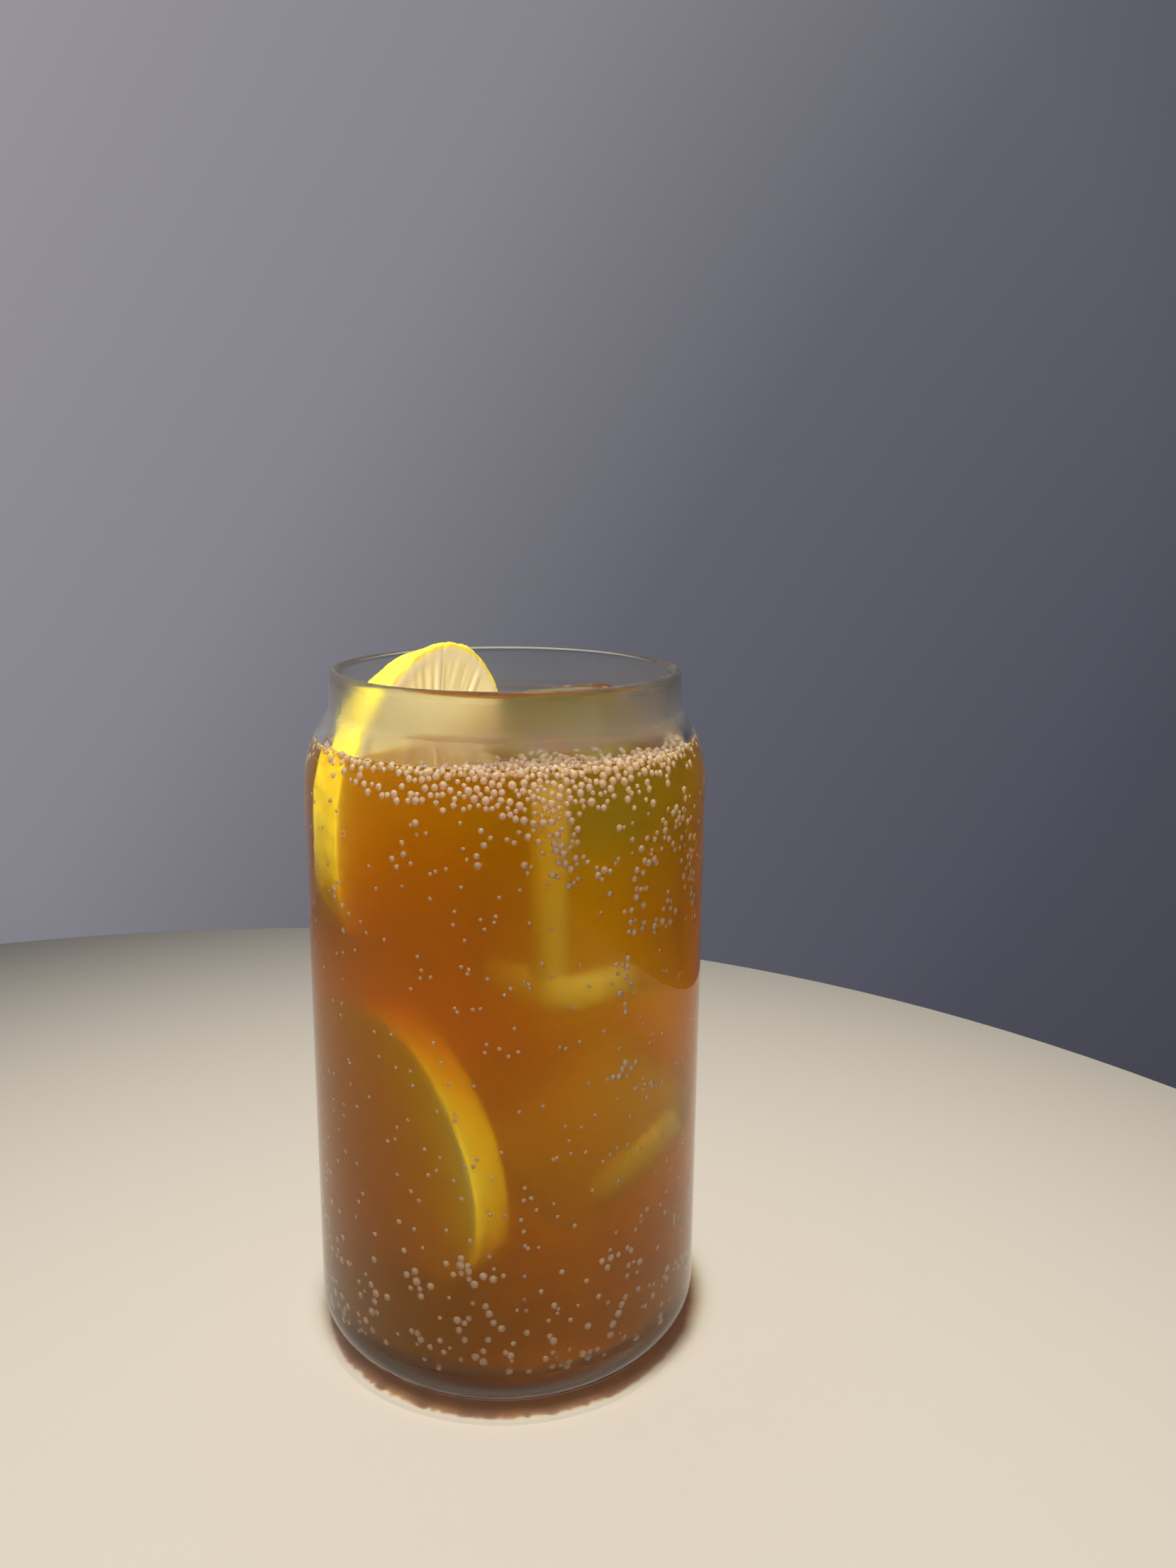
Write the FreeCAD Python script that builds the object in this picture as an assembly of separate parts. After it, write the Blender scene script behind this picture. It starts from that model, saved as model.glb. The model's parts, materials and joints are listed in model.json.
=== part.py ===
import FreeCAD, Part

import math
import os

from FreeCAD import Placement, Rotation, Vector

# A can-shaped drinking glass of espresso tonic, with lumps of ice and a slice of lemon that stand out of it.
# Millimetres, +Z up. The origin is on the glass's axis, on the surface that it stands on.
# The drinker sits on the -Y side, with +X to the right.

# --- The glass ---
glass_height = 134.0
body_radius = 38.0
neck_radius = 33.0
wall = 2.2
base_thickness = 6.0
heel_radius = 10.0  # outside, where the side turns under
inner_heel_radius = 9.0
shoulder_radius = 22.0  # outside, where the side turns in to the neck
neck_fillet = 2.0  # outside, the hollow where the shoulder meets the neck
neck_height = 6.8  # the straight neck, rim included
foot_width = 4.5  # the flat ring that it stands on
punt_rise = 1.2  # how far the underside is hollowed inside that ring

# --- The drink ---
level_below_rim = 14.0

# --- The slice of lemon ---
fruit_radius = 29.4
slice_cut = 7.0  # from the middle of the fruit to the slice's larger face
slice_thickness = 7.5
rind_width = 3.2  # zest and pith together
zest_rounding = 0.8  # the soft edge between the zest and the cut faces
segment_count = 9
segment_sink = 0.5  # how far the flesh lies below its membranes on each face
membrane_width = 1.3
segment_start = 4.5  # from the slice's centre to the flesh
segment_tip_rounding = 0.5
segment_rounding = 1.6
slice_above_rim = 4.2  # how far its top stands above the rim
slice_clearance = 2.4  # to the inside of the glass
slice_turn = 61.0  # degrees that its larger face is turned away from the drinker, to the right
slice_lean = -5.0  # degrees that its larger face looks up
slice_spin = 11.0  # degrees that it is turned about its own centre

# --- The lumps of ice ---
ice_rounding = 5.0
ice_clearance = 0.2  # to the inside of the glass, and between the lumps
back_ice_size = (25.0, 17.0, 30.0)
back_ice_turns = (-24.0, -9.0, 3.0)  # degrees about Z, Y and X
back_ice_heading = 54.5  # degrees from +X, the way from the glass's axis to the lump
back_ice_depth = 8.0  # from the drink's level down to the lump's centre
front_ice_size = (26.0, 28.0, 46.0)
front_ice_turns = (-52.0, 0.0, 0.0)
front_ice_heading = 267.8  # the same, but the way from the other lump to this one
front_ice_depth = 21.3

# --- Worked out from the sizes above ---
shoulder_middle = body_radius - shoulder_radius  # radius at which the shoulder's arc has its centre
neck_middle = neck_radius + neck_fillet  # the same for the hollow below the neck
neck_start = glass_height - neck_height
arc_span = shoulder_radius + neck_fillet  # between the two centres
shoulder_start = neck_start - math.sqrt(arc_span**2 - (neck_middle - shoulder_middle) ** 2)
shoulder_turn = math.degrees(math.acos((neck_middle - shoulder_middle) / arc_span))
drink_level = glass_height - level_below_rim
large_face_radius = math.sqrt(fruit_radius**2 - slice_cut**2)
small_face_radius = math.sqrt(fruit_radius**2 - (slice_cut + slice_thickness) ** 2)
slice_height = glass_height + slice_above_rim - large_face_radius * math.cos(math.radians(slice_lean))


def arc(centre, radius, start_angle, end_angle):
    """An edge in the XZ plane round a centre (x, z), its angles in degrees from +X towards +Z."""

    def at(angle):
        turn = math.radians(angle)
        return Vector(centre[0] + radius * math.cos(turn), 0, centre[1] + radius * math.sin(turn))

    return Part.Arc(at(start_angle), at((start_angle + end_angle) / 2), at(end_angle)).toShape()


def spun(*outline):
    """A solid of revolution about Z. The outline is points (x, z) and arcs, joined by straight lines."""
    edges = []
    here = None
    for piece in (*outline, outline[0]):
        is_point = isinstance(piece, tuple)
        start = Vector(piece[0], 0, piece[1]) if is_point else piece.valueAt(piece.FirstParameter)
        if here is not None and here.distanceToPoint(start) > 1e-6:
            edges.append(Part.LineSegment(here, start).toShape())
        if is_point:
            here = start
        else:
            edges.append(piece)
            here = piece.valueAt(piece.LastParameter)
    face = Part.Face(Part.Wire(edges))
    return face.revolve(Vector(0, 0, 0), Vector(0, 0, 1), 360)


def inside_of_glass():
    """The inner face's outline, from the neck down to the middle of the floor."""
    floor_corner = body_radius - wall - inner_heel_radius
    return (
        (neck_radius - wall, neck_start),
        arc((neck_middle, neck_start), neck_fillet + wall, 180, 180 + shoulder_turn),
        arc((shoulder_middle, shoulder_start), shoulder_radius - wall, shoulder_turn, 0),
        arc((floor_corner, base_thickness + inner_heel_radius), inner_heel_radius, 0, -90),
        (0, base_thickness),
    )


def glass():
    """One blown piece: thick base with a hollowed foot, straight body, round shoulder and short neck."""
    foot_outer = body_radius - heel_radius
    foot_inner = foot_outer - foot_width
    punt_radius = (foot_inner**2 + punt_rise**2) / (2 * punt_rise)
    punt_half_angle = math.degrees(math.asin(foot_inner / punt_radius))
    rim_rounding = wall / 2
    return spun(
        (0, punt_rise),
        arc((0, punt_rise - punt_radius), punt_radius, 90, 90 - punt_half_angle),
        arc((foot_outer, heel_radius), heel_radius, -90, 0),
        arc((shoulder_middle, shoulder_start), shoulder_radius, 0, shoulder_turn),
        arc((neck_middle, neck_start), neck_fillet, 180 + shoulder_turn, 180),
        arc((neck_radius - rim_rounding, glass_height - rim_rounding), rim_rounding, 0, 180),
        *inside_of_glass(),
    )


def inner_radius(height):
    """The radius of the glass's inside at a height above its floor."""
    hollow = neck_fillet + wall
    crown = shoulder_radius - wall
    heel_top = base_thickness + inner_heel_radius
    if height >= neck_start:
        return neck_radius - wall
    if height > neck_start - hollow * math.sin(math.radians(shoulder_turn)):
        return neck_middle - math.sqrt(hollow**2 - (neck_start - height) ** 2)
    if height > shoulder_start:
        return shoulder_middle + math.sqrt(crown**2 - (height - shoulder_start) ** 2)
    if height > heel_top:
        return body_radius - wall
    return body_radius - wall - inner_heel_radius + math.sqrt(inner_heel_radius**2 - (heel_top - height) ** 2)


def heading(degrees):
    """The level unit vector that many degrees from +X."""
    return Vector(math.cos(math.radians(degrees)), math.sin(math.radians(degrees)), 0)


def moved_to_wall(shape, way, clearance):
    """The shape slid level along a unit vector until it is that far from the inside of the glass."""
    slides = []
    for point in shape.tessellate(0.1)[0]:
        across = point.x * way.y - point.y * way.x
        room = (inner_radius(point.z) - clearance) ** 2 - across**2
        slides.append(math.sqrt(max(room, 0)) - point.dot(way))
    return shape.translated(way * min(slides))


def moved_beside(shape, neighbour, way, clearance):
    """The rounded shape slid level from its neighbour, along a unit vector, until it is that far clear."""
    start = neighbour.CenterOfMass - shape.CenterOfMass
    shape = shape.translated(Vector(start.x, start.y, 0) + way * 3 * body_radius)
    for _ in range(8):
        gap, pairs, _ = shape.distToShape(neighbour)
        near, far = pairs[0]
        slope = (near - far).dot(way) / gap
        shape = shape.translated(way * ((clearance - gap) / slope))
    return shape


def segment_pocket(depth):
    """The hollow over one segment of flesh: a wedge along +X with rounded corners, from Z=0 up."""
    half_angle = math.pi / segment_count
    half_membrane = membrane_width / 2
    outer = small_face_radius - rind_width
    corners = []
    for radius in (segment_start, outer):
        turn = half_angle - math.asin(half_membrane / radius)
        corners.append((radius * math.cos(turn), radius * math.sin(turn)))
    (near_x, near_y), (far_x, far_y) = corners
    tip = Part.LineSegment(Vector(near_x, -near_y, 0), Vector(near_x, near_y, 0)).toShape()
    left = Part.LineSegment(Vector(near_x, near_y, 0), Vector(far_x, far_y, 0)).toShape()
    end = Part.Arc(Vector(far_x, far_y, 0), Vector(outer, 0, 0), Vector(far_x, -far_y, 0)).toShape()
    right = Part.LineSegment(Vector(far_x, -far_y, 0), Vector(near_x, -near_y, 0)).toShape()
    wedge = Part.Face(Part.Wire([tip, left, end, right])).extrude(Vector(0, 0, depth))
    uprights = [edge for edge in wedge.Edges if abs(edge.tangentAt(edge.FirstParameter).z) > 0.99]
    at_tip = [edge for edge in uprights if edge.CenterOfMass.x < segment_start + 1]
    at_end = [edge for edge in uprights if edge.CenterOfMass.x >= segment_start + 1]
    wedge = wedge.makeFillet(segment_rounding, at_end)
    at_tip = [
        edge
        for edge in wedge.Edges
        if abs(edge.tangentAt(edge.FirstParameter).z) > 0.99
        and any(edge.CenterOfMass.distanceToPoint(old.CenterOfMass) < 1e-3 for old in at_tip)
    ]
    return wedge.makeFillet(segment_tip_rounding, at_tip)


def lemon_slice():
    """A whole round cut across the fruit. Its side keeps the fruit's curve, and its flesh lies a little
    below the rind and the membranes on both faces."""
    half = slice_thickness / 2
    larger_angle = math.degrees(math.asin(slice_cut / fruit_radius))
    smaller_angle = math.degrees(math.asin((slice_cut + slice_thickness) / fruit_radius))
    fruit_middle = (0, half + slice_cut)
    disc = spun((0, -half), arc(fruit_middle, fruit_radius, -smaller_angle, -larger_angle), (0, half))
    rims = [edge for edge in disc.Edges if edge.isClosed() and edge.Length > fruit_radius]
    disc = disc.makeFillet(zest_rounding, rims)
    pocket = segment_pocket(segment_sink)
    pockets = []
    for face_bottom in (half - segment_sink, -half):
        for number in range(segment_count):
            copy = pocket.copy()
            turn = Rotation(Vector(0, 0, 1), number * 360 / segment_count)
            copy.Placement = Placement(Vector(0, 0, face_bottom), turn)
            pockets.append(copy)
    disc = disc.cut(Part.makeCompound(pockets))
    turn = Rotation(Vector(0, 0, 1), slice_turn)
    stand = Rotation(Vector(1, 0, 0), 90 - slice_lean)
    spin = Rotation(Vector(0, 0, 1), slice_spin)
    disc.Placement = Placement(Vector(0, 0, slice_height), turn.multiply(stand).multiply(spin))
    return moved_to_wall(disc, heading(slice_turn + 90), slice_clearance)


def ice(size, turns, depth):
    """A lump of ice with melted, rounded edges, on the glass's axis, its centre that deep in the drink."""
    block = Part.makeBox(*size, Vector(*size) * -0.5)
    lump = block.makeFillet(ice_rounding, block.Edges).Solids[0]
    lump.Placement = Placement(Vector(0, 0, drink_level - depth), Rotation(*turns))
    return lump


def drink(things_in_it):
    """The liquid up to its level, cut round what stands out of it."""
    cavity = spun((0, glass_height), (neck_radius - wall, glass_height), *inside_of_glass())
    liquid = cavity.common(Part.makeCylinder(body_radius, drink_level))
    return liquid.cut(things_in_it)


def export(shape, node):
    """Writes one solid to its STEP file."""
    solids = shape.Solids
    if len(solids) != 1 or not solids[0].isValid():
        raise ValueError(f"{node}: {len(solids)} solids, or one that isn't valid")
    solids[0].exportStep(f"parts/{node}.step")
    print(node, round(solids[0].Volume / 1000, 2), "cm3")


os.makedirs("parts", exist_ok=True)
garnish = lemon_slice()
back_ice = ice(back_ice_size, back_ice_turns, back_ice_depth)
back_ice = moved_to_wall(back_ice, heading(back_ice_heading), ice_clearance)
front_ice = ice(front_ice_size, front_ice_turns, front_ice_depth)
front_ice = moved_beside(front_ice, back_ice, heading(front_ice_heading), ice_clearance)
export(glass(), "glass")
export(garnish, "lemon_slice")
export(front_ice, "ice_front")
export(back_ice, "ice_back")
export(drink([garnish, front_ice, back_ice]), "drink")
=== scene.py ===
"""A can-shaped glass of iced espresso tonic, with two slices of lemon, three lumps of ice and a fizz of bubbles.

The pack's nodes give the places and the overall sizes. Sizes here are in millimetres, and the studio's are in
metres.
"""

import itertools
import json
import math
import random

import bmesh
import bpy
from mathutils import Euler, Matrix, Vector, noise

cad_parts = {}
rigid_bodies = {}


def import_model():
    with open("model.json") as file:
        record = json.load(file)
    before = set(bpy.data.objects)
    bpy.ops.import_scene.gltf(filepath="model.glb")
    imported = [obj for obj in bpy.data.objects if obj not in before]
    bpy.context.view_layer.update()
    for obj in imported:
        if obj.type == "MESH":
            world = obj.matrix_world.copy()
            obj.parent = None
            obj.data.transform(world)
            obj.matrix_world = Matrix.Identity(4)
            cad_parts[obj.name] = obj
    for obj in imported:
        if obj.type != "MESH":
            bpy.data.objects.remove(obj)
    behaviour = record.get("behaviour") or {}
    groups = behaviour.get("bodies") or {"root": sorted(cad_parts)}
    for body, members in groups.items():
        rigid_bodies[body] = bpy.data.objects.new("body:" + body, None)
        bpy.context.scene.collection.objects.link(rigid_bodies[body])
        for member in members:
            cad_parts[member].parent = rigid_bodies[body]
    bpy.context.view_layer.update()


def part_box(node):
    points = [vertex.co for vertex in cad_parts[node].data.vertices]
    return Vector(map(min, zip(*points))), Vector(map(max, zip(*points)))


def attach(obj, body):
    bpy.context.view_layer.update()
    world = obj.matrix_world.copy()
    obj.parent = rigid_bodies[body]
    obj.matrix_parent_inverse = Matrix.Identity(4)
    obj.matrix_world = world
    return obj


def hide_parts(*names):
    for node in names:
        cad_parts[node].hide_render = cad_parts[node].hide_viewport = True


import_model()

MM = 0.001

# --- Sizes shared with the pack's solids ---
RIM_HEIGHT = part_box("glass")[1].z / MM
BODY_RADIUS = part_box("glass")[1].x / MM
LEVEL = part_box("drink")[1].z / MM
NECK_RADIUS = 33.0
WALL = 2.2
FLOOR = 6.0
HEEL = 10.0
INNER_HEEL = 9.0
SHOULDER = 22.0
NECK_HOLLOW = 2.0
NECK_HEIGHT = 6.8
FOOT_WIDTH = 4.5
PUNT_RISE = 1.2
NECK_START = RIM_HEIGHT - NECK_HEIGHT
SHOULDER_MIDDLE = BODY_RADIUS - SHOULDER
HOLLOW_MIDDLE = NECK_RADIUS + NECK_HOLLOW
SHOULDER_START = NECK_START - math.sqrt(
    (SHOULDER + NECK_HOLLOW) ** 2 - (HOLLOW_MIDDLE - SHOULDER_MIDDLE) ** 2
)
SHOULDER_TURN = math.degrees(
    math.acos((HOLLOW_MIDDLE - SHOULDER_MIDDLE) / (SHOULDER + NECK_HOLLOW))
)
SEATING = 0.25  # how far the liquid reaches into the wall, so that no air shows between them

# --- Where the look of the glass changes, as heights between which it fades ---
FOG_RISES = (LEVEL + 1, LEVEL + 7)
FOG_ENDS = (RIM_HEIGHT - 1.5, RIM_HEIGHT - 0.5)
WET_RISES = (FLOOR + 2, FLOOR + 8)
WET_ENDS = (LEVEL, LEVEL + 1.2)
MIST_RISES = (2, 10)
MIST_ENDS = (18, 75)
# Painted shade: the heel's outside is tinted darker up to these heights, standing in for the shadow under the
# glass seen through its base.
HEEL_SHADE_ENDS = (7.5, 10.5)

# --- How finely round shapes are cut ---
ROUND_STEPS = 216
LEMON_STEPS = 360
FACE_CUTS = 30
SIDE_CUTS = 16


def linear(hex_colour):
    """An sRGB hex colour as the linear RGBA that shaders take."""
    channels = [int(hex_colour[i : i + 2], 16) / 255 for i in (1, 3, 5)]
    return (*(c / 12.92 if c <= 0.04045 else ((c + 0.055) / 1.055) ** 2.4 for c in channels), 1.0)


def add(tree, kind, inputs=(), **settings):
    """Adds a node with its own settings. Inputs are values, or sockets to link from."""
    made = tree.nodes.new(kind)
    for name, value in settings.items():
        setattr(made, name, value)
    for name, value in dict(inputs).items():
        if isinstance(value, bpy.types.NodeSocket):
            tree.links.new(value, made.inputs[name])
        else:
            made.inputs[name].default_value = value
    return made


def empty_material(name):
    """A new material and its node tree, with no node in it."""
    made = bpy.data.materials.new(name)
    made.use_nodes = True
    made.node_tree.nodes.clear()
    return made, made.node_tree


def let_lamps_through(tree, surface, tint):
    """Lets a surface bend light for the eye but only tint it for shadows, so that lamps reach behind it."""
    path = add(tree, "ShaderNodeLightPath")
    clear = add(tree, "ShaderNodeBsdfTransparent", {"Color": linear(tint)})
    both = add(
        tree,
        "ShaderNodeMixShader",
        {0: path.outputs["Is Shadow Ray"], 1: surface.outputs[0], 2: clear.outputs[0]},
    )
    return add(tree, "ShaderNodeOutputMaterial", {"Surface": both.outputs[0]})


def absorption(tree, per_metre):
    """A volume that takes away that much red, green and blue light for each metre, by the exponential law."""
    density = max(per_metre)
    colour = (*(1 - share / density for share in per_metre), 1.0)
    return add(tree, "ShaderNodeVolumeAbsorption", {"Color": colour, "Density": density})


def mesh_from(name, bm):
    """Makes a mesh from a bmesh, which is then freed."""
    mesh = bpy.data.meshes.new(name)
    bm.to_mesh(mesh)
    bm.free()
    return mesh


def place_in_scene(name, bm, material):
    """Makes the finished piece from its bmesh, at the origin, riding on the one body."""
    mesh = mesh_from(name, bm)
    for face in mesh.polygons:
        face.use_smooth = True
    mesh.materials.append(material)
    made = bpy.data.objects.new(name, mesh)
    bpy.context.scene.collection.objects.link(made)
    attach(made, "root")
    return made


# --- Outlines turned about the glass's axis ---
def draw(bm, *pieces):
    """Draws an outline in the XZ plane from points (x, z) and arcs (centre, radius, start, end, segments)."""
    last = None
    for piece in pieces:
        if len(piece) == 2:
            first = final = bm.verts.new((piece[0] * MM, 0, piece[1] * MM))
        else:
            (x, z), radius, start, end, segments = piece
            turn = math.radians(start)
            first = bm.verts.new(
                ((x + radius * math.cos(turn)) * MM, 0, (z + radius * math.sin(turn)) * MM)
            )
            swept = bmesh.ops.spin(
                bm,
                geom=[first],
                cent=(x * MM, 0, z * MM),
                axis=(0, -1, 0),
                angle=math.radians(end - start),
                steps=segments,
            )
            final = next(g for g in swept["geom_last"] if isinstance(g, bmesh.types.BMVert))
        if last is not None:
            bm.edges.new((last, first))
        last = final


def spin_round(bm, steps):
    """Turns the outline in a bmesh about Z into a closed shape whose faces point outwards."""
    bmesh.ops.spin(
        bm,
        geom=bm.verts[:] + bm.edges[:],
        cent=(0, 0, 0),
        axis=(0, 0, 1),
        angle=math.tau,
        steps=steps,
        use_merge=True,
    )
    bmesh.ops.remove_doubles(bm, verts=bm.verts, dist=1e-6)
    bmesh.ops.recalc_face_normals(bm, faces=bm.faces)


def turned(pieces):
    """A closed shape turned from an outline."""
    bm = bmesh.new()
    draw(bm, *pieces)
    spin_round(bm, ROUND_STEPS)
    return bm


def smooth_step(value, low, high):
    """Rises gently from 0 at the low end to 1 at the high end."""
    share = min(max((value - low) / (high - low), 0), 1)
    return share * share * (3 - 2 * share)


def inside_radius(height):
    """The inside radius of the glass at a height, from the floor's corner to the rim."""
    if height >= NECK_START:
        return NECK_RADIUS - WALL
    hollow = NECK_HOLLOW + WALL
    if height > NECK_START - hollow * math.sin(math.radians(SHOULDER_TURN)):
        return HOLLOW_MIDDLE - math.sqrt(hollow**2 - (NECK_START - height) ** 2)
    if height >= FLOOR + INNER_HEEL:
        return shoulder_radius(height)
    if height <= FLOOR:
        return BODY_RADIUS - WALL - INNER_HEEL
    below = FLOOR + INNER_HEEL - height
    return BODY_RADIUS - WALL - INNER_HEEL + math.sqrt(INNER_HEEL**2 - below**2)


def shoulder_radius(height, offset=0.0):
    """The inside radius of the glass in its shoulder or body at a height, plus an offset."""
    if height <= SHOULDER_START:
        return BODY_RADIUS - WALL + offset
    crown = SHOULDER - WALL + offset
    return SHOULDER_MIDDLE + math.sqrt(crown**2 - (height - SHOULDER_START) ** 2)


def below_shoulder(top, offset):
    """The inside of the glass from a height in the shoulder down to the middle of the floor."""
    crown = SHOULDER - WALL + offset
    start = math.degrees(math.asin((top - SHOULDER_START) / crown))
    corner = BODY_RADIUS - WALL - INNER_HEEL
    return [
        ((SHOULDER_MIDDLE, SHOULDER_START), crown, start, 0, 14),
        ((corner, FLOOR + INNER_HEEL), INNER_HEEL + offset, 0, -90, 14),
        (0, FLOOR - offset),
    ]


def vessel():
    """The glass itself, marked for fog and wetting on its inside, and for mist and a painted shade on its heel
    outside.
    """
    foot = BODY_RADIUS - HEEL
    foot_inner = foot - FOOT_WIDTH
    punt_radius = (foot_inner**2 + PUNT_RISE**2) / (2 * PUNT_RISE)
    punt_half = math.degrees(math.asin(foot_inner / punt_radius))
    lip = WALL / 2
    bm = turned(
        [
            (0, PUNT_RISE),
            ((0, PUNT_RISE - punt_radius), punt_radius, 89, 90 - punt_half, 12),
            ((foot, HEEL), HEEL, -90, 0, 18),
            ((SHOULDER_MIDDLE, SHOULDER_START), SHOULDER, 0, SHOULDER_TURN, 18),
            ((HOLLOW_MIDDLE, NECK_START), NECK_HOLLOW, 179 + SHOULDER_TURN, 180, 8),
            ((NECK_RADIUS - lip, RIM_HEIGHT - lip), lip, 0, 180, 12),
            ((HOLLOW_MIDDLE, NECK_START), NECK_HOLLOW + WALL, 180, 179 + SHOULDER_TURN, 8),
            ((SHOULDER_MIDDLE, SHOULDER_START), SHOULDER - WALL, SHOULDER_TURN, 0, 18),
            ((BODY_RADIUS - WALL - INNER_HEEL, FLOOR + INNER_HEEL), INNER_HEEL, 0, -90, 16),
            (0, FLOOR),
        ]
    )
    fog = bm.verts.layers.float.new("fog")
    wetted = bm.verts.layers.float.new("wetted")
    mist = bm.verts.layers.float.new("mist")
    heel_shade = bm.verts.layers.float.new("heel_shade")
    for v in bm.verts:
        x, y, z = v.co / MM
        if math.hypot(x, y) < inside_radius(z) + WALL / 2 and z > FLOOR / 2:
            v[fog] = smooth_step(z, *FOG_RISES) * (1 - smooth_step(z, *FOG_ENDS))
            v[wetted] = smooth_step(z, *WET_RISES) - smooth_step(z, *WET_ENDS)
        else:
            v[mist] = smooth_step(z, *MIST_RISES) - smooth_step(z, *MIST_ENDS)
            # painted shade on the outside of the heel, fading out upwards
            v[heel_shade] = 1 - smooth_step(z, *HEEL_SHADE_ENDS)
    return bm


def liquid(offset, top):
    """The drink's body, with the edge of its surface drawn up the wall in a small curve."""
    creep = 1.1
    curve = 2.0
    edge = shoulder_radius(top + creep, offset)
    return turned(
        [
            (0, top),
            ((edge - 2.1, top + curve), curve, -90, -30, 6),
            *below_shoulder(top + creep, offset),
        ]
    )


# --- Ice ---
ICE_ROUNDING = 5.0
ICE_RIPPLE_WIDTH = 11
ICE_RIPPLE_DEPTH = 0.55
CLOUD_INSET = 3.4
CLOUD_THICKNESS = 6.0


def lump_place(centre, turns):
    """Where a lump stands. Turns are degrees about Z, Y and X."""
    about_z, about_y, about_x = (math.radians(turn) for turn in turns)
    turn = Euler((about_x, about_y, about_z), "XYZ")
    return Matrix.Translation(Vector(centre) * MM) @ turn.to_matrix().to_4x4()


def lump(size, centre, turns, seed, grow=0.0):
    """A melted block of ice, a little larger or smaller if it is to grow."""
    bm = bmesh.new()
    bmesh.ops.create_cube(bm, size=1)
    bmesh.ops.scale(bm, vec=Vector(size) * MM, verts=bm.verts)
    bmesh.ops.bevel(
        bm,
        geom=bm.verts[:] + bm.edges[:],
        offset=ICE_ROUNDING * MM,
        affect="EDGES",
        segments=6,
        profile=0.5,
        material=-1,
    )
    long_edges = [e for e in bm.edges if e.calc_length() > 4 * MM]
    bmesh.ops.subdivide_edges(bm, edges=long_edges, cuts=9, use_grid_fill=True)
    bm.normal_update()
    for v in bm.verts:
        ripple = noise.noise(v.co / (ICE_RIPPLE_WIDTH * MM) + Vector((seed, 0, 0)))
        v.co += v.normal * (ripple * ICE_RIPPLE_DEPTH + grow) * MM
    bmesh.ops.transform(bm, matrix=lump_place(centre, turns), verts=bm.verts)
    bm.normal_update()
    return bm


def middle(node):
    """The middle of a node's box, in millimetres."""
    low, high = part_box(node)
    return (low + high) / (2 * MM)


# Each lump's size, centre, turns and the seed of its ripples.
LUMPS = {
    "ice_lump_front": ((26, 28, 46), middle("ice_front"), (-52, 0, 0), 3.1),
    "ice_lump_back": ((25, 17, 30), middle("ice_back"), (-24, -9, 3), 8.2),
    "ice_lump_sunk": ((32, 29, 28), (10.2, -6.5, 50.0), (21, -37, 0), 5.7),
}

# The edges of each lump that air clouds. A streak runs between two points, as shares of the lump's half sizes.
CLOUDY_EDGES = {
    "ice_lump_front": (
        ((0.55, -1, -1), (0.55, -1, 0.85)),
        ((1, -1, -1), (1, 0.2, -1)),
        ((1, -1, -1), (-1, -1, -1)),
    ),
    "ice_lump_sunk": (((-0.6, -1, -1), (0.9, -1, -1)),),
}


def cut_round_ice(bm, name, material, grow):
    """Cuts a hollow for each lump, a little smaller or larger than the lump."""
    made = place_in_scene(name, bm, material)
    for shape in LUMPS.values():
        mesh = mesh_from("cutter", lump(*shape, grow=grow))
        cutter = bpy.data.objects.new("cutter", mesh)
        bpy.context.scene.collection.objects.link(cutter)
        cut = made.modifiers.new("cut", "BOOLEAN")
        cut.object, cut.operation, cut.solver = cutter, "DIFFERENCE", "EXACT"
        shaped = bpy.data.meshes.new_from_object(
            made.evaluated_get(bpy.context.evaluated_depsgraph_get())
        )
        made.modifiers.clear()
        made.data = shaped
        bpy.data.objects.remove(cutter)
        bpy.data.meshes.remove(mesh)
    for face in made.data.polygons:
        face.use_smooth = True
    made.data.set_sharp_from_angle(angle=math.radians(50))
    return made


# --- Lemon ---
RIND = 3.2
SEGMENTS = 9
MEMBRANE = 1.3
CORE = 4.0
RIM_ROUNDING = 0.7
FLESH_SUNK = 0.18
SAC_LENGTH = 5.5
SAC_RELIEF = 0.16
SACS_ACROSS = 14
PORE_SPACING = 1.15
PORE_DEPTH = 0.24
SKIN_SWELL_WIDTH = 3.4
SKIN_SWELL = 0.28


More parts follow.
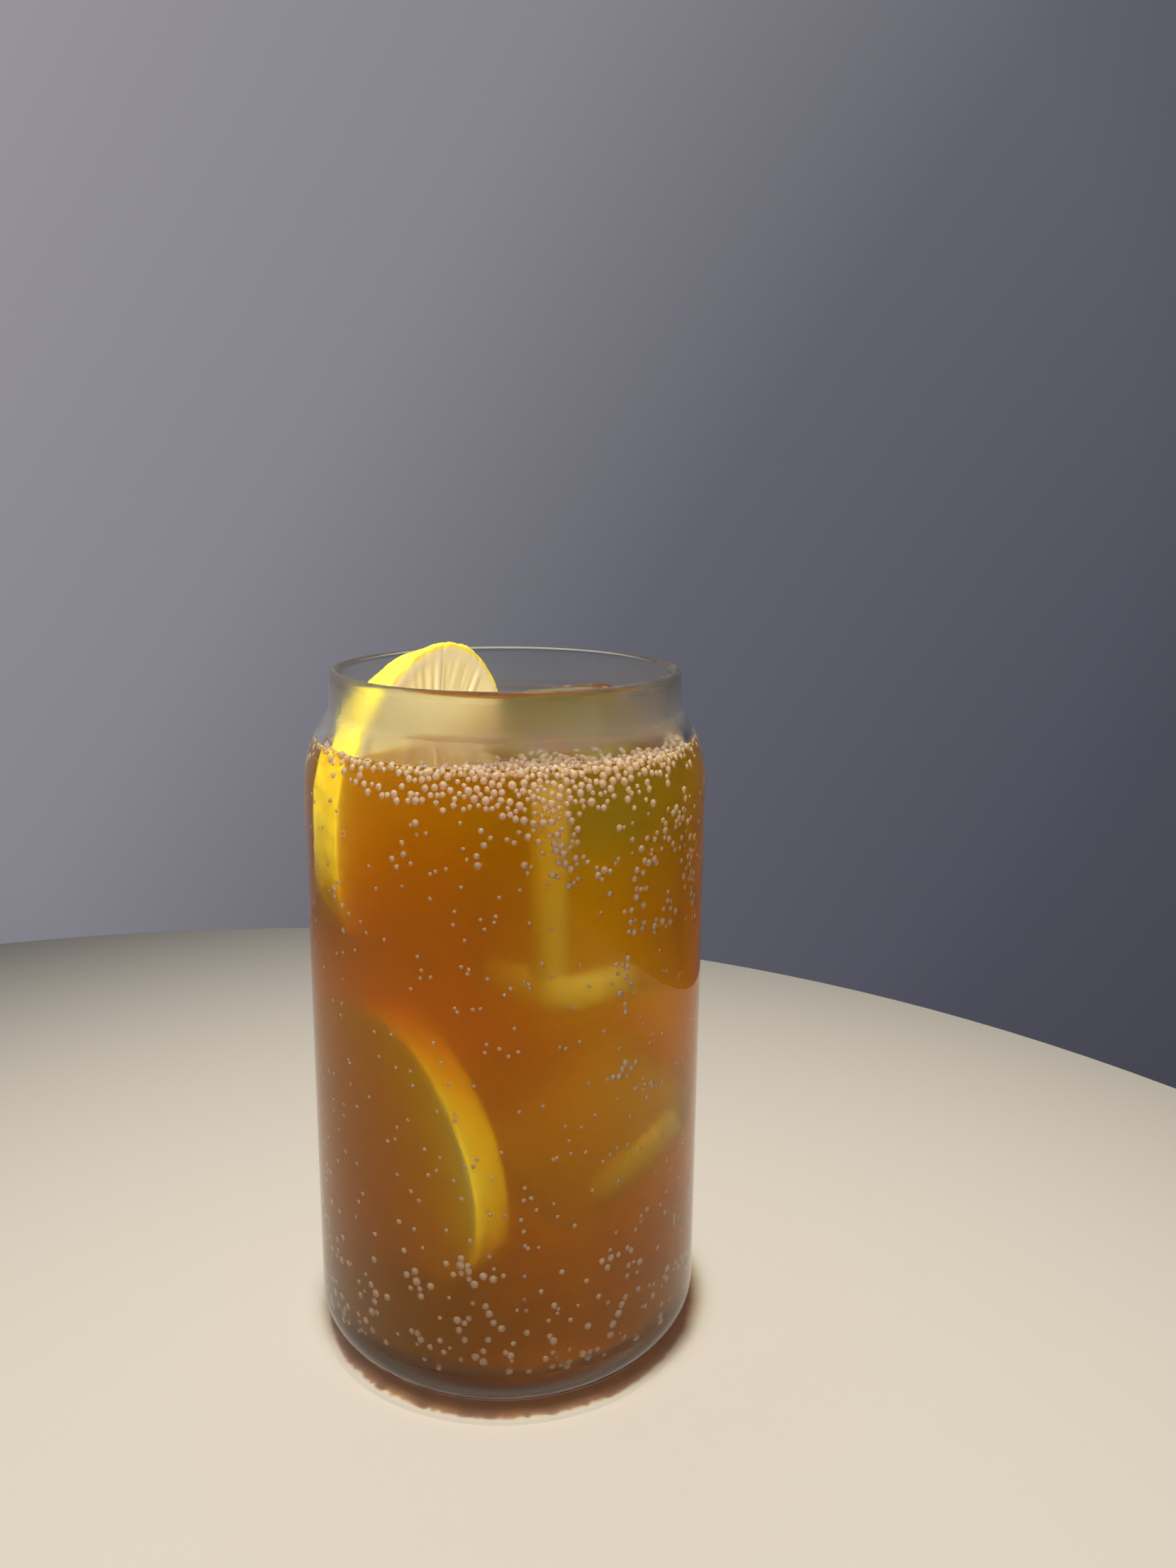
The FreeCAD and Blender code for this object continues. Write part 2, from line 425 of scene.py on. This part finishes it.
def lemon(name, material, place, large, small, thickness, seed):
    """A round slice with zest pores, pith, membranes and sunken, ribbed flesh.

    Large and small are the radii of its faces, and the larger face is up before the slice is placed.
    """
    half = thickness / 2
    rounding = RIM_ROUNDING
    bm = bmesh.new()
    draw(
        bm,
        (0, half),
        ((large - rounding, half - rounding), rounding, 90, 20, 4),
        ((small - rounding, rounding - half), rounding, -20, -90, 4),
        (0, -half),
    )
    # The outline's two long edges are the faces, and the one of middling length is the side.
    for edge in list(bm.edges):
        length = edge.calc_length()
        if length > 15 * MM:
            bmesh.ops.subdivide_edges(bm, edges=[edge], cuts=FACE_CUTS)
        elif length > 3 * MM:
            bmesh.ops.subdivide_edges(bm, edges=[edge], cuts=SIDE_CUTS)
    spin_round(bm, LEMON_STEPS)
    bm.normal_update()
    flesh = bm.verts.layers.float.new("flesh")
    zest = bm.verts.layers.float.new("zest")
    for v in bm.verts:
        x, y, z = v.co / MM
        radius = math.hypot(x, y)
        outer = large if z > 0 else small
        wander = 0.15 * noise.noise(v.co / (2 * MM))
        on_side = 1 - smooth_step(outer + wander - radius, 0.7, 1.3)
        v[zest] = max(on_side, smooth_step(half - abs(z), 0.3, 0.7))
        bearing = math.atan2(y, x)
        uneven = 0.22 * noise.noise((x / 30, y / 30, seed))
        share = (bearing / math.tau * SEGMENTS + uneven) % 1
        from_membrane = min(share, 1 - share) * math.tau * radius / SEGMENTS - MEMBRANE / 2
        inward = outer - RIND + 0.5 * noise.noise((x / 4, y / 4, seed)) - radius
        depth = min(from_membrane, inward, radius - CORE)
        v[flesh] = smooth_step(depth, -0.1, 0.5) * (1 - v[zest])
        grain = noise.noise(Vector((radius / SAC_LENGTH, bearing * SACS_ACROSS, seed + z)))
        sunk = v[flesh] * (FLESH_SUNK + SAC_RELIEF * grain)
        from_pore = noise.voronoi(Vector((x, y, z)) / PORE_SPACING)[0][0]
        pore = PORE_DEPTH * (1 - smooth_step(from_pore, 0.1, 0.5))
        swell = SKIN_SWELL * noise.noise(v.co / (SKIN_SWELL_WIDTH * MM))
        dimple = v[zest] * (pore + swell)
        v.co -= v.normal * (sunk + dimple) * MM
    bmesh.ops.transform(bm, matrix=place, verts=bm.verts)
    bm.normal_update()
    return place_in_scene(name, bm, material)


def upright(centre, turn, lean, spin):
    """Stands a slice on edge, in degrees: turned about Z, its larger face leaning up, spun about its axis."""
    return (
        Matrix.Translation(Vector(centre) * MM)
        @ Matrix.Rotation(math.radians(turn), 4, "Z")
        @ Matrix.Rotation(math.radians(90 - lean), 4, "X")
        @ Matrix.Rotation(math.radians(spin), 4, "Z")
    )


def clouds(lump_name, bars):
    """Streaks of trapped air along a lump's edges, as round bars that stand a little out of its rounding."""
    size, centre, turns, _ = LUMPS[lump_name]
    place = lump_place(centre, turns)
    bm = bmesh.new()
    for ends in bars:
        start, stop = (
            Vector([(side / 2 - CLOUD_INSET) * share * MM for side, share in zip(size, shares)])
            for shares in ends
        )
        along = stop - start
        bmesh.ops.create_cone(
            bm,
            cap_ends=True,
            segments=16,
            radius1=CLOUD_THICKNESS / 2 * MM,
            radius2=CLOUD_THICKNESS / 2 * MM,
            depth=along.length,
            matrix=place
            @ Matrix.Translation((start + stop) / 2)
            @ along.to_track_quat("Z", "Y").to_matrix().to_4x4(),
        )
    return bm


# --- Bubbles ---
CELL = 2  # the boxes that neighbours are looked for in, wider than any bubble
BATCH = 30
LOWEST_BUBBLE = 8

# How many bubbles are tried in each part of the fizz. Those that would reach far into a neighbour are left out.
PATCH_TRIES = 800
COLLAR_TRIES = 1100
SINGLE_TRIES = 950
SMALL_GROUPS = 90
AFLOAT_TRIES = 6500

# Groups on the wall: bearing, height, how wide and how tall they spread, and how many are tried.
CLUSTERS = (
    (-28, 116.2, 9, 1.6, 24),
    (-10, 116.4, 9, 1.4, 44),
    (5, 112.6, 4, 3.5, 26),
    (15.2, 108.6, 2.6, 5.2, 44),
    (14.8, 104.5, 2.0, 2.0, 8),
    (26, 104.3, 3.0, 1.4, 9),
    (17.5, 101.0, 1.2, 3.0, 7),
    (27, 102.0, 1.0, 3.2, 5),
    (-7, 106.2, 1.2, 2.2, 4),
    (4.4, 105.0, 1.0, 2.0, 3),
    (48, 108.0, 5.0, 3.0, 22),
    (56, 110.0, 4.0, 3.5, 22),
    (42, 104.0, 2.2, 4.5, 10),
    (61, 103.0, 3.0, 9.0, 34),
    (65, 94.0, 2.5, 8.0, 24),
    (38, 99.0, 1.4, 5.0, 9),
    (36, 93.5, 3.2, 3.0, 10),
    (42, 91.5, 4.5, 1.6, 14),
    (52, 93.5, 1.6, 5.0, 11),
    (34, 85.0, 1.6, 5.0, 12),
    (33.3, 77.5, 1.6, 4.0, 7),
    (33.7, 65.8, 3.5, 2.0, 12),
    (43, 60.5, 3.8, 2.6, 14),
    (-29, 106.0, 5.0, 4.0, 5),
    (-52, 95.0, 5.0, 6.0, 6),
)


def bell(value, peak, width):
    """A smooth hump: 1 at its peak, falling away to both sides."""
    return math.exp(-(((value - peak) / width) ** 2))


def on_wall(bearing, height, inward=0.0):
    """A point on the drink's side. The bearing is degrees from the drinker's side, towards the right."""
    radius = inside_radius(height) + SEATING - inward
    turn = math.radians(bearing)
    return Vector((radius * math.sin(turn), -radius * math.cos(turn), height))


class Fizz:
    """Bubbles that hardly touch each other, gathered into one piece."""

    def __init__(self, seed):
        self.dice = random.Random(seed)
        self.cells = {}
        self.bubbles = []

    def put(self, centre, radius, overlap=0.15):
        """Adds a bubble, unless it would reach too far into one that is there."""
        key = tuple(int(c // CELL) for c in centre)
        for step in itertools.product((-1, 0, 1), repeat=3):
            near = tuple(here + way for here, way in zip(key, step))
            for other, size in self.cells.get(near, ()):
                if (other - centre).length < (radius + size) * (1 - overlap):
                    return
        self.cells.setdefault(key, []).append((centre, radius))
        self.bubbles.append((centre, radius))

    def cluster(self, bearing, height, wide, tall, count, size=0.58):
        """Bubbles round a spot on the wall. Wide and tall are the spreads in millimetres."""
        around = inside_radius(height)
        for _ in range(count):
            along = math.degrees(self.dice.gauss(0, wide / 2) / around)
            up = self.dice.gauss(0, tall / 2)
            self.on_side(bearing + along, height + up, size * self.dice.uniform(0.75, 1.25))

    def on_side(self, bearing, height, radius):
        """Adds a bubble on the wall, if that is between the floor and the surface of the drink."""
        if LOWEST_BUBBLE < height < LEVEL + 0.8:
            self.put(on_wall(bearing, height, 0.1 * radius), radius)

    def piece(self, name, material):
        """Makes the beads a few at a time, as each operator goes over the whole of its mesh."""
        bm = bmesh.new()
        for start in range(0, len(self.bubbles), BATCH):
            few = bmesh.new()
            for centre, radius in self.bubbles[start : start + BATCH]:
                bmesh.ops.create_uvsphere(
                    few,
                    u_segments=8,
                    v_segments=5,
                    radius=radius * MM,
                    matrix=Matrix.Translation(centre * MM) @ Matrix.Rotation(radius * 9, 4, "X"),
                )
            batch = mesh_from("batch", few)
            bm.from_mesh(batch)
            bpy.data.meshes.remove(batch)
        return place_in_scene(name, bm, material)


def wall_bubbles():
    """Bubbles that cling to the inside of the wall, half set into it."""
    fizz = Fizz(11)
    dice = fizz.dice
    # The dense patch at the front, then the collar under the surface, thickest at the front and to the right.
    for _ in range(PATCH_TRIES):
        bearing = dice.gauss(12, 22)
        low = 6.8 * bell(bearing, 8, 20) + 1.5
        fizz.on_side(bearing, LEVEL + 0.9 - low * dice.random() ** 1.3, dice.uniform(0.42, 0.78))
    for _ in range(COLLAR_TRIES):
        bearing = dice.uniform(-180, 180)
        thick = 0.14 + 0.86 * bell(bearing, 12, 36)
        if dice.random() > thick:
            continue
        drop = abs(dice.gauss(0, 1.0)) * (1.5 + 4.2 * thick)
        fizz.on_side(bearing, LEVEL + 0.6 - drop, dice.uniform(0.38, 0.72))
    for spot in CLUSTERS:
        fizz.cluster(*spot)
    # Single ones, all round and more of them low down.
    for _ in range(SINGLE_TRIES):
        height = 9 + 105 * dice.random() ** 1.35
        size = 0.36 + 0.42 * (1 - smooth_step(height, 15, 60)) * dice.random()
        fizz.on_side(dice.uniform(-180, 180), height, size)
    for _ in range(SMALL_GROUPS):
        bearing, height = dice.uniform(-180, 180), 9 + 24 * dice.random()
        wide, tall = dice.uniform(0.8, 3.4), dice.uniform(0.8, 3.4)
        fizz.cluster(bearing, height, wide, tall, dice.randrange(3, 9), 0.74)
    return fizz


def foam():
    """Bubbles afloat, crowded against the glass at the front and to the right."""
    fizz = Fizz(23)
    dice = fizz.dice
    edge = shoulder_radius(LEVEL)
    for _ in range(AFLOAT_TRIES):
        bearing = dice.uniform(-180, 180)
        thick = 0.10 + 0.90 * bell(bearing, 18, 34)
        if dice.random() > thick:
            continue
        reach = abs(dice.gauss(0, 1.0)) * (0.8 + 4.2 * thick)
        radius = dice.uniform(0.35, 0.75)
        turn = math.radians(bearing)
        away = edge - 0.4 - reach
        centre = Vector((away * math.sin(turn), -away * math.cos(turn), LEVEL + 0.25 * radius))
        fizz.put(centre, radius, 0.1)
        if thick > 0.45 and dice.random() < 0.6:
            fizz.put(centre + Vector((0, 0, 0.85)), radius * 0.9, 0.1)
    return fizz


# --- Materials ---
DRINK_ABSORBS = (6.5, 33.0, 210.0)  # shares of red, green and blue for each metre
HAZE_SCATTERS = (1.0, 1.0, 0.05, 1.0)
HAZE_DENSITY = 46.0
CLOUD_DENSITY = 260.0


def glass_material():
    """Soda-lime glass, blown: clear and glossy, with breath-like fog inside its neck above the cold drink, and a
    painted shade on its heel.
    """
    made, tree = empty_material("soda-lime glass, fogged inside the neck")
    fog = add(tree, "ShaderNodeAttribute", attribute_name="fog")
    wetted = add(tree, "ShaderNodeAttribute", attribute_name="wetted")
    mist = add(tree, "ShaderNodeAttribute", attribute_name="mist")
    heel_shade = add(tree, "ShaderNodeAttribute", attribute_name="heel_shade")
    # Painted shade: the heel is tinted a darker brown-grey, standing in for the shadow under the glass seen
    # through its thick base.
    tint = add(
        tree,
        "ShaderNodeMix",
        {0: heel_shade.outputs["Fac"], 6: linear("#F7FAF8"), 7: linear("#E0D6CE")},
        data_type="RGBA",
    )
    dull = add(tree, "ShaderNodeMath", {0: fog.outputs["Fac"], 1: 0.38}, operation="MULTIPLY")
    veil = add(
        tree,
        "ShaderNodeMath",
        {0: mist.outputs["Fac"], 1: -0.015, 2: 1.0},
        operation="MULTIPLY_ADD",
    )
    clear = add(
        tree,
        "ShaderNodeMath",
        {0: fog.outputs["Fac"], 1: -0.12, 2: veil.outputs[0]},
        operation="MULTIPLY_ADD",
    )
    # Where the drink wets the glass the two hardly differ, so little is reflected between them.
    gloss = add(
        tree,
        "ShaderNodeMix",
        {0: wetted.outputs["Fac"], 6: linear("#787878"), 7: linear("#202020")},
        data_type="RGBA",
    )
    surface = add(
        tree,
        "ShaderNodeBsdfPrincipled",
        {
            "Base Color": tint.outputs[2],
            "Roughness": dull.outputs[0],
            "IOR": 1.5,
            "Specular Tint": gloss.outputs[2],
            "Transmission Weight": clear.outputs[0],
        },
    )
    let_lamps_through(tree, surface, "#F2F4F2")
    return made


def drink_material():
    """Coffee and tonic water: clear amber, redder and darker the further light goes through it."""
    made, tree = empty_material("espresso tonic")
    place = add(tree, "ShaderNodeTexCoord")
    apart = add(tree, "ShaderNodeSeparateXYZ", {0: place.outputs["Object"]})
    # Dull where it meets the glass, and glossy at its surface, which is open to the air.
    below_surface = {
        "Value": apart.outputs["Z"],
        "From Min": (LEVEL - 1.5) * MM,
        "From Max": (LEVEL - 0.3) * MM,
    }
    dull = add(tree, "ShaderNodeMapRange", {**below_surface, "To Min": 0.3, "To Max": 0.03})
    open_air = add(tree, "ShaderNodeMapRange", below_surface)
    gloss = add(
        tree,
        "ShaderNodeMix",
        {0: open_air.outputs[0], 6: linear("#101010"), 7: linear("#FFFFFF")},
        data_type="RGBA",
    )
    surface = add(
        tree,
        "ShaderNodeBsdfPrincipled",
        {
            "Base Color": linear("#FFFFFF"),
            "Roughness": dull.outputs[0],
            "IOR": 1.333,
            "Specular Tint": gloss.outputs[2],
            "Transmission Weight": 1.0,
        },
    )
    out = let_lamps_through(tree, surface, "#FFFFFF")
    tree.links.new(absorption(tree, DRINK_ABSORBS).outputs[0], out.inputs["Volume"])
    return made


def haze_material():
    """The coffee's oils and fine fizz, which scatter lamplight through the liquid and make it glow."""
    made, tree = empty_material("coffee haze")
    surface = add(tree, "ShaderNodeBsdfPrincipled", {"Base Color": linear("#C88A50"), "Alpha": 0.0})
    scatter = add(
        tree,
        "ShaderNodeVolumeScatter",
        {"Color": HAZE_SCATTERS, "Density": HAZE_DENSITY, "Anisotropy": 0.5},
    )
    add(tree, "ShaderNodeOutputMaterial", {"Surface": surface.outputs[0], "Volume": scatter.outputs[0]})
    return made


def ice_material():
    """Clear ice, wet: smooth, slightly softened by melt."""
    made, tree = empty_material("wet clear ice")
    surface = add(
        tree,
        "ShaderNodeBsdfPrincipled",
        {
            "Base Color": linear("#F6FAFA"),
            "Roughness": 0.06,
            "IOR": 1.31,
            "Transmission Weight": 1.0,
        },
    )
    let_lamps_through(tree, surface, "#F4F8F8")
    return made


def fresh_lemon_material():
    """Cut lemon: waxy yellow zest, dry cream pith and wet, translucent flesh."""
    made, tree = empty_material("fresh lemon")
    zest = add(tree, "ShaderNodeAttribute", attribute_name="zest")
    flesh = add(tree, "ShaderNodeAttribute", attribute_name="flesh")
    wet = add(
        tree,
        "ShaderNodeMix",
        {"Factor": flesh.outputs["Fac"], 6: linear("#EEE0B0"), 7: linear("#F0E2A6")},
        data_type="RGBA",
    )
    colour = add(
        tree,
        "ShaderNodeMix",
        {"Factor": zest.outputs["Fac"], 6: wet.outputs[2], 7: linear("#FAE250")},
        data_type="RGBA",
    )
    surface = add(
        tree,
        "ShaderNodeBsdfPrincipled",
        {
            "Base Color": colour.outputs[2],
            "Roughness": 0.42,
            "Subsurface Weight": 0.25,
            "Subsurface Radius": (1.0, 0.8, 0.3),
            "Subsurface Scale": 0.003,
            "Coat Weight": 0.2,
        },
    )
    add(tree, "ShaderNodeOutputMaterial", {"Surface": surface.outputs[0]})
    return made


def bubble_material():
    """Gas bubbles held by a skin of liquid: small pale beads that catch the light."""
    made, tree = empty_material("tonic fizz")
    surface = add(
        tree,
        "ShaderNodeBsdfPrincipled",
        {
            "Base Color": linear("#EED2B6"),
            "Roughness": 0.4,
            "IOR": 1.33,
            "Transmission Weight": 0.35,
            "Subsurface Weight": 0.9,
            "Subsurface Radius": (1.0, 0.9, 0.8),
            "Subsurface Scale": 0.002,
        },
    )
    let_lamps_through(tree, surface, "#E8D8C8")
    return made


def frost_material():
    """Cloudy ice: fine trapped air that lights up white inside the clear ice."""
    made, tree = empty_material("cloudy ice")
    surface = add(
        tree,
        "ShaderNodeBsdfPrincipled",
        {"Base Color": linear("#F2ECE0"), "Roughness": 1.0, "Alpha": 0.34},
    )
    scatter = add(
        tree,
        "ShaderNodeVolumeScatter",
        {"Color": linear("#FFFFFF"), "Density": CLOUD_DENSITY, "Anisotropy": 0.0},
    )
    add(tree, "ShaderNodeOutputMaterial", {"Surface": surface.outputs[0], "Volume": scatter.outputs[0]})
    return made


def table_material():
    """Laminate with a matt, lightly textured skin: even, pale and without a clear reflection."""
    made, tree = empty_material("matt cream laminate")
    surface = add(
        tree, "ShaderNodeBsdfPrincipled", {"Base Color": linear("#E7E5DA"), "Roughness": 0.6}
    )
    add(tree, "ShaderNodeOutputMaterial", {"Surface": surface.outputs[0]})
    return made


# --- The object ---
glass_piece = place_in_scene("glass_vessel", vessel(), glass_material())
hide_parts("glass")

drink_piece = cut_round_ice(liquid(SEATING, LEVEL), "drink_body", drink_material(), -0.15)
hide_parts("drink")

haze_piece = cut_round_ice(liquid(-0.15, LEVEL - 0.3), "drink_haze", haze_material(), 0.15)

clear_ice = ice_material()
for lump_name, shape in LUMPS.items():
    piece = place_in_scene(lump_name, lump(*shape), clear_ice)
    if lump_name != "ice_lump_sunk":
        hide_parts(lump_name.replace("_lump", ""))

cloudy_ice = frost_material()
for lump_name, bars in CLOUDY_EDGES.items():
    piece = place_in_scene(lump_name + "_clouds", clouds(lump_name, bars), cloudy_ice)

fizz_material = bubble_material()
wall_fizz = wall_bubbles().piece("bubbles_on_wall", fizz_material)
floating_fizz = foam().piece("foam_bubbles", fizz_material)

cut_lemon = fresh_lemon_material()
upper_place = upright((-17.35, 7.72, 109.75), 61, -5, 11)
upper_slice = lemon("lemon_slice_upper", cut_lemon, upper_place, 28.55, 25.6, 7.5, 1.0)
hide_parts("lemon_slice")

sunk_place = upright((-15.6, -7.8, 46.5), -63, -10, 0)
sunk_slice = lemon("lemon_slice_sunk", cut_lemon, sunk_place, 28.0, 26.5, 7.2, 4.0)


# --- The studio, in metres ---
TABLE_RADIUS = 0.34
TABLE_MIDDLE = (-0.091, -0.098, -0.0001)  # a hair under the glass, so that they share no plane
BRIGHT_SIDE = (-0.62, 0.0, 0.40)
SOFT_WHITE = "#FFF6EA"
HAZE_AND_CLOUDS = ("drink_haze", "ice_lump_front_clouds", "ice_lump_sunk_clouds")
BEADS = ("bubbles_on_wall", "foam_bubbles")
CAMERA_PLACE = (0, -0.2442, 0.1664)
CAMERA_LENS = 29.91
CAMERA_DOWN, CAMERA_ROLL, CAMERA_RIGHT = (math.radians(turn) for turn in (12.71, 0.51, 3.67))


def table_top(scene):
    """A round, pale table top just under the glass."""
    bm = bmesh.new()
    bmesh.ops.create_circle(bm, cap_ends=True, segments=160, radius=TABLE_RADIUS)
    bmesh.ops.translate(bm, vec=TABLE_MIDDLE, verts=bm.verts)
    mesh = mesh_from("floor", bm)
    mesh.materials.append(table_material())
    floor = bpy.data.objects.new("floor", mesh)
    scene.collection.objects.link(floor)


def hang_lamp(scene, name, place, aim, spread, soft, watts, colour, linked=(), state="INCLUDE"):
    """A soft spot lamp. Its light may be kept to the linked pieces, or off them with EXCLUDE."""
    lamp_data = bpy.data.lights.new(name, "SPOT")
    lamp_data.shadow_soft_size = soft
    lamp_data.spot_size = math.radians(spread)
    lamp_data.spot_blend = 1.0
    lamp_data.energy = watts
    lamp_data.color = linear(colour)[:3]
    lamp = bpy.data.objects.new(name, lamp_data)
    lamp.location = place
    lamp.rotation_euler = (Vector(aim) - lamp.location).to_track_quat("-Z", "Y").to_euler()
    if not name.startswith("overhead"):
        lamp.visible_glossy = False
        lamp.visible_transmission = False
        lamp.visible_camera = False
    if linked:
        group = bpy.data.collections.new(name)
        for piece in linked:
            group.objects.link(bpy.data.objects[piece])
        for link in group.collection_objects:
            link.light_linking.link_state = state
        lamp.light_linking.receiver_collection = group
    scene.collection.objects.link(lamp)


def light_up(scene):
    """A lamp far overhead, then lights for what is inside the glass, which that lamp hardly reaches.

    A lamp that is kept to some pieces never lights the haze in the drink, so the overhead lamp is there twice:
    once for everything, and once more for the surfaces.
    """
    surfaces = tuple(
        o.name
        for o in scene.objects
        if o.type == "MESH" and o.name not in (*HAZE_AND_CLOUDS, *BEADS)
    )
    overhead = ((-0.01, -0.06, 1.25), (0, -0.08, 0), 36, 0.02, 26, "#FFF4E8")
    hang_lamp(scene, "overhead lamp", *overhead)
    hang_lamp(scene, "overhead lamp, on surfaces", *overhead, surfaces)
    hang_lamp(
        scene, "fill on the lemon", (-0.05, -0.60, 0.35), (-0.02, 0, 0.12), 15,
        0.1, 64, SOFT_WHITE, ("lemon_slice_upper",),
    )
    hang_lamp(
        scene, "fill on the cloudy ice", (0.0, -0.60, 0.28), (0.004, -0.02, 0.086), 6.5,
        0.1, 250, SOFT_WHITE, ("ice_lump_front_clouds",),
    )
    hang_lamp(
        scene, "fill on the drink", (0.05, -0.60, 0.30), (-0.014, 0, 0.070), 6.6,
        0.1, 165, SOFT_WHITE, ("floor", "glass_vessel", "lemon_slice_sunk", *BEADS), "EXCLUDE",
    )
    hang_lamp(
        scene, "light through the drink", (-0.02, 0.50, 0.10), (0.002, 0, 0.056), 5.6,
        0.03, 20, SOFT_WHITE,
        ("floor", "glass_vessel", "lemon_slice_sunk", "lemon_slice_upper", *BEADS), "EXCLUDE",
    )
    hang_lamp(
        scene, "fill on the bubbles", (0.0, -0.60, 0.30), (0.01, 0, 0.112), 9.0,
        0.1, 38, SOFT_WHITE, BEADS,
    )
    hang_lamp(
        scene, "fill on the sunk lemon", (0.02, -0.60, 0.20), (-0.008, -0.02, 0.046), 9,
        0.1, 110, "#FFE6C4", ("lemon_slice_sunk",),
    )


def soft_room(scene):
    """Soft light from all round, brightest up to the left, and dimmed but for what lies behind the glass."""
    world = bpy.data.worlds.new("soft room")
    scene.world = world
    world.use_nodes = True
    tree = world.node_tree
    tree.nodes.clear()
    way = add(tree, "ShaderNodeTexCoord")
    toward_light = add(
        tree,
        "ShaderNodeVectorMath",
        {0: way.outputs["Generated"], 1: BRIGHT_SIDE},
        operation="DOT_PRODUCT",
    )
    height = add(
        tree,
        "ShaderNodeMapRange",
        {"Value": toward_light.outputs["Value"], "From Min": -0.35, "From Max": 0.65},
    )
    ramp = add(tree, "ShaderNodeValToRGB", {"Fac": height.outputs[0]})
    stops = ramp.color_ramp.elements
    stops[0].position, stops[0].color = 0.0, linear("#4E4F5A")
    stops[1].position, stops[1].color = 1.0, linear("#B4B3B8")
    for position, colour in ((0.25, "#62636D"), (0.45, "#86848C"), (0.6, "#918E95")):
        stop = stops.new(position)
        stop.color = linear(colour)
    apart = add(tree, "ShaderNodeSeparateXYZ", {0: way.outputs["Generated"]})
    dim = add(
        tree,
        "ShaderNodeMapRange",
        {"Value": apart.outputs["Y"], "From Min": 0.6, "From Max": 0.9, "To Min": 0.32},
    )
    light = add(tree, "ShaderNodeBackground", {"Color": ramp.outputs[0], "Strength": dim.outputs[0]})
    add(tree, "ShaderNodeOutputWorld", {"Surface": light.outputs[0]})


def stand_camera(scene):
    """A camera in front of the glass, looking down at it and a little to the right."""
    ahead = Vector(
        (
            math.sin(CAMERA_RIGHT) * math.cos(CAMERA_DOWN),
            math.cos(CAMERA_RIGHT) * math.cos(CAMERA_DOWN),
            -math.sin(CAMERA_DOWN),
        )
    )
    right = Vector((math.cos(CAMERA_RIGHT), -math.sin(CAMERA_RIGHT), 0))
    up = right.cross(ahead)
    right, up = (
        right * math.cos(CAMERA_ROLL) + up * math.sin(CAMERA_ROLL),
        up * math.cos(CAMERA_ROLL) - right * math.sin(CAMERA_ROLL),
    )
    camera_data = bpy.data.cameras.new("camera")
    camera_data.sensor_width = 36
    camera_data.lens = CAMERA_LENS
    camera_data.clip_start = 0.01
    camera = bpy.data.objects.new("camera", camera_data)
    turn = Matrix((right, up, -ahead)).transposed().to_4x4()
    camera.matrix_world = Matrix.Translation(CAMERA_PLACE) @ turn
    scene.collection.objects.link(camera)
    scene.camera = camera


studio = bpy.context.scene
table_top(studio)
light_up(studio)
soft_room(studio)
stand_camera(studio)

studio.view_settings.view_transform = "Standard"
# Light passes through many layers here: glass, drink, haze, ice and beads, front and back.
studio.cycles.max_bounces = 24
studio.cycles.transmission_bounces = 24
studio.cycles.transparent_max_bounces = 32
studio.cycles.volume_bounces = 6
